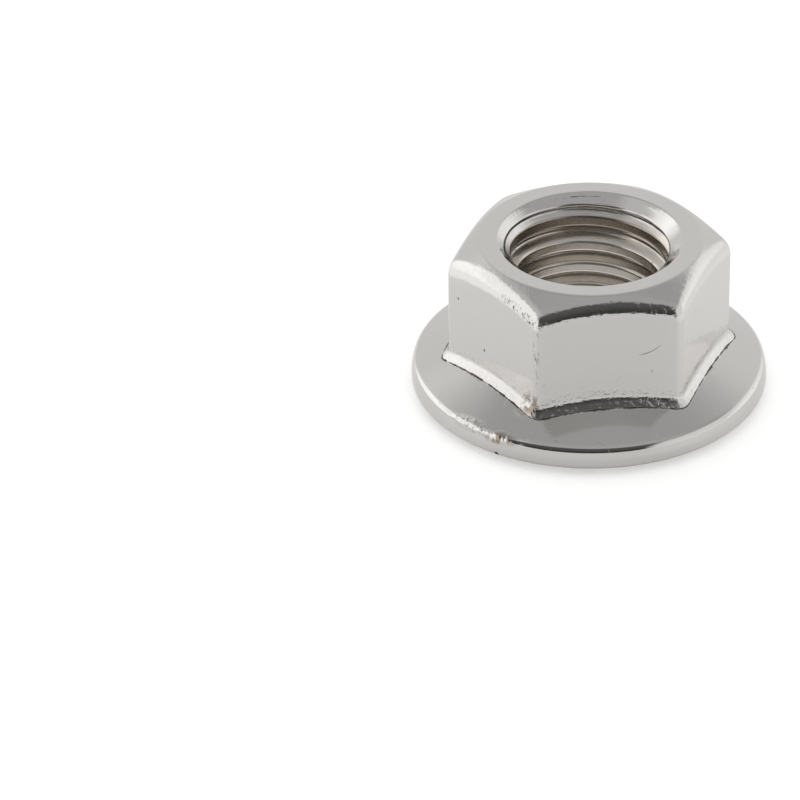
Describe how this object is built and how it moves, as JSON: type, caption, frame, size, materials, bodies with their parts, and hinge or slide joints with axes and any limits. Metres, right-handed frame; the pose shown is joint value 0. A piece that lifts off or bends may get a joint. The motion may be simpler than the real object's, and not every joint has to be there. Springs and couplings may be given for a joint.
{
  "type": "flange nut",
  "caption": "Hexagon nut forged in one piece with a conical flange, whose bearing face carries a ring of curved locking teeth.",
  "frame": {"origin": "centre of the bearing plane, which the tops of the teeth touch", "axes": "+Z along the nut's axis, from the bearing plane to the top of the hexagon; +X square to one flat of the hexagon"},
  "size_m": [0.0216, 0.0216, 0.01],
  "materials": {
    "polished_stainless": "polished"
  },
  "bodies": {
    "root": {"flange_nut": "polished_stainless"}
  },
  "joints": []
}
